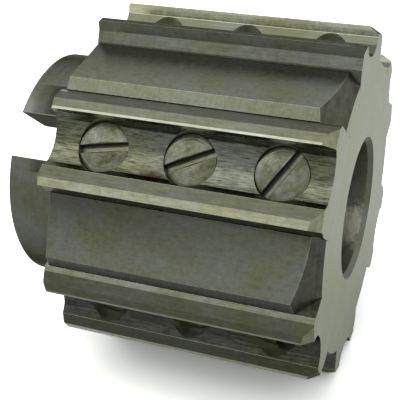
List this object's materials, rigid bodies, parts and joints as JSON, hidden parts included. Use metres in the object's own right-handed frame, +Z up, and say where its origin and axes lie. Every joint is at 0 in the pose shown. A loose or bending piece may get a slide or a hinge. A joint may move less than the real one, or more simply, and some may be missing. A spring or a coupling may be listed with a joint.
{
  "type": "face mill",
  "caption": "Shell-type face mill: a bored steel body with a slotted driving hub, long cutting blades in straight slots, and slotted screws that hold them.",
  "frame": {"origin": "on the bore axis, in the plane of the rear ends of the blades", "axes": "+X along the tool axis from the hub to the cutting face; +Z up, with the tool lying on both cutting edges of its lowest blade"},
  "size_m": [0.0932, 0.0974, 0.0998],
  "materials": {
    "body_steel": "milled and ground tool steel, dark olive grey, satin",
    "blade_steel": "ground high-speed steel, light olive grey, satin",
    "screw_steel": "turned steel, worn satin"
  },
  "bodies": {
    "mill": {"cutter_body": "body_steel", "blade_1": "blade_steel", "blade_2": "blade_steel", "blade_3": "blade_steel", "blade_4": "blade_steel", "blade_5": "blade_steel", "blade_6": "blade_steel"},
    "screw_1_rear": {"screw_1_rear": "screw_steel"},
    "screw_1_middle": {"screw_1_middle": "screw_steel"},
    "screw_1_front": {"screw_1_front": "screw_steel"},
    "screw_2_rear": {"screw_2_rear": "screw_steel"},
    "screw_2_middle": {"screw_2_middle": "screw_steel"},
    "screw_2_front": {"screw_2_front": "screw_steel"},
    "screw_3_rear": {"screw_3_rear": "screw_steel"},
    "screw_3_middle": {"screw_3_middle": "screw_steel"},
    "screw_3_front": {"screw_3_front": "screw_steel"},
    "screw_4_rear": {"screw_4_rear": "screw_steel"},
    "screw_4_middle": {"screw_4_middle": "screw_steel"},
    "screw_4_front": {"screw_4_front": "screw_steel"},
    "screw_5_rear": {"screw_5_rear": "screw_steel"},
    "screw_5_middle": {"screw_5_middle": "screw_steel"},
    "screw_5_front": {"screw_5_front": "screw_steel"},
    "screw_6_rear": {"screw_6_rear": "screw_steel"},
    "screw_6_middle": {"screw_6_middle": "screw_steel"},
    "screw_6_front": {"screw_6_front": "screw_steel"}
  },
  "joints": [
    {"name": "turn_1_rear", "type": "hinge", "parent": "mill", "child": "screw_1_rear", "pos_m": [0.0143, -0.03209, 0.02098], "axis": [0, -0.8371, 0.5471], "range_deg": [0, 2430]},
    {"name": "turn_1_middle", "type": "hinge", "parent": "mill", "child": "screw_1_middle", "pos_m": [0.0383, -0.03209, 0.02098], "axis": [0, -0.8371, 0.5471], "range_deg": [0, 2430]},
    {"name": "turn_1_front", "type": "hinge", "parent": "mill", "child": "screw_1_front", "pos_m": [0.0623, -0.03209, 0.02098], "axis": [0, -0.8371, 0.5471], "range_deg": [0, 2430]},
    {"name": "turn_2_rear", "type": "hinge", "parent": "mill", "child": "screw_2_rear", "pos_m": [0.0143, -0.03421, -0.01731], "axis": [0, -0.8923, -0.4514], "range_deg": [0, 2430]},
    {"name": "turn_2_middle", "type": "hinge", "parent": "mill", "child": "screw_2_middle", "pos_m": [0.0383, -0.03421, -0.01731], "axis": [0, -0.8923, -0.4514], "range_deg": [0, 2430]},
    {"name": "turn_2_front", "type": "hinge", "parent": "mill", "child": "screw_2_front", "pos_m": [0.0623, -0.03421, -0.01731], "axis": [0, -0.8923, -0.4514], "range_deg": [0, 2430]},
    {"name": "turn_3_rear", "type": "hinge", "parent": "mill", "child": "screw_3_rear", "pos_m": [0.0143, -0.00212, -0.03828], "axis": [0, -0.0553, -0.9985], "range_deg": [0, 2430]},
    {"name": "turn_3_middle", "type": "hinge", "parent": "mill", "child": "screw_3_middle", "pos_m": [0.0383, -0.00212, -0.03828], "axis": [0, -0.0553, -0.9985], "range_deg": [0, 2430]},
    {"name": "turn_3_front", "type": "hinge", "parent": "mill", "child": "screw_3_front", "pos_m": [0.0623, -0.00212, -0.03828], "axis": [0, -0.0553, -0.9985], "range_deg": [0, 2430]},
    {"name": "turn_4_rear", "type": "hinge", "parent": "mill", "child": "screw_4_rear", "pos_m": [0.0143, 0.03209, -0.02098], "axis": [0, 0.8371, -0.5471], "range_deg": [0, 2430]},
    {"name": "turn_4_middle", "type": "hinge", "parent": "mill", "child": "screw_4_middle", "pos_m": [0.0383, 0.03209, -0.02098], "axis": [0, 0.8371, -0.5471], "range_deg": [0, 2430]},
    {"name": "turn_4_front", "type": "hinge", "parent": "mill", "child": "screw_4_front", "pos_m": [0.0623, 0.03209, -0.02098], "axis": [0, 0.8371, -0.5471], "range_deg": [0, 2430]},
    {"name": "turn_5_rear", "type": "hinge", "parent": "mill", "child": "screw_5_rear", "pos_m": [0.0143, 0.03421, 0.01731], "axis": [0, 0.8923, 0.4514], "range_deg": [0, 2430]},
    {"name": "turn_5_middle", "type": "hinge", "parent": "mill", "child": "screw_5_middle", "pos_m": [0.0383, 0.03421, 0.01731], "axis": [0, 0.8923, 0.4514], "range_deg": [0, 2430]},
    {"name": "turn_5_front", "type": "hinge", "parent": "mill", "child": "screw_5_front", "pos_m": [0.0623, 0.03421, 0.01731], "axis": [0, 0.8923, 0.4514], "range_deg": [0, 2430]},
    {"name": "turn_6_rear", "type": "hinge", "parent": "mill", "child": "screw_6_rear", "pos_m": [0.0143, 0.00212, 0.03828], "axis": [0, 0.0553, 0.9985], "range_deg": [0, 2430]},
    {"name": "turn_6_middle", "type": "hinge", "parent": "mill", "child": "screw_6_middle", "pos_m": [0.0383, 0.00212, 0.03828], "axis": [0, 0.0553, 0.9985], "range_deg": [0, 2430]},
    {"name": "turn_6_front", "type": "hinge", "parent": "mill", "child": "screw_6_front", "pos_m": [0.0623, 0.00212, 0.03828], "axis": [0, 0.0553, 0.9985], "range_deg": [0, 2430]}
  ]
}
